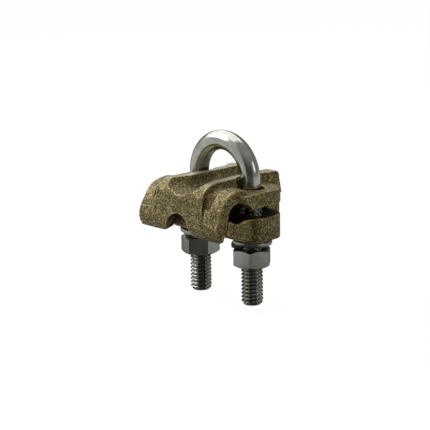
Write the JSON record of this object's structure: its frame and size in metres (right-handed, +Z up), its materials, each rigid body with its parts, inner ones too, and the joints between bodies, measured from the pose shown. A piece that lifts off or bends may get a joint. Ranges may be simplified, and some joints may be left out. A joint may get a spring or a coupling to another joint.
{
  "type": "earth rod clamp",
  "caption": "U-bolt clamp whose two bronze castings grip a ground rod and one earth cable, laid across the rod or along it.",
  "frame": {"origin": "on the axis of the ground rod, midway between the two legs of the U-bolt", "axes": "+Y along the ground rod, away from the cable side; +X towards the right leg; +Z up towards the arch of the U-bolt"},
  "size_m": [0.0454, 0.0403, 0.062],
  "materials": {
    "bronze": "rough sand-cast bronze, worn brighter on its edges",
    "stainless": "bright drawn stainless steel"
  },
  "bodies": {
    "ubolt": {"u_bolt": "stainless"},
    "keeper": {"keeper": "bronze", "lock_washer_left": "stainless", "lock_washer_right": "stainless"},
    "saddle": {"saddle_body": "bronze"},
    "nut_left": {"hex_nut_left": "stainless"},
    "nut_right": {"hex_nut_right": "stainless"}
  },
  "joints": [
    {"name": "keeper_slide", "type": "slide", "parent": "ubolt", "child": "keeper", "axis": [0, 0, 1], "range_m": [-0.01, 0]},
    {"name": "saddle_lift", "type": "slide", "parent": "keeper", "child": "saddle", "axis": [0, 0, 1], "range_m": [0, 0.0018]},
    {"name": "nut_left_turn", "type": "hinge", "parent": "keeper", "child": "nut_left", "pos_m": [-0.0135, 0, -0.0306], "axis": [0, 0, 1], "range_deg": [-2600, 5]},
    {"name": "nut_right_turn", "type": "hinge", "parent": "keeper", "child": "nut_right", "pos_m": [0.0135, 0, -0.0306], "axis": [0, 0, 1], "range_deg": [-2600, 5]}
  ],
  "couplings": [
    {"joint": "nut_left_turn", "follows": "keeper_slide", "rad_per_m": 4453},
    {"joint": "nut_right_turn", "follows": "keeper_slide", "rad_per_m": 4453}
  ]
}
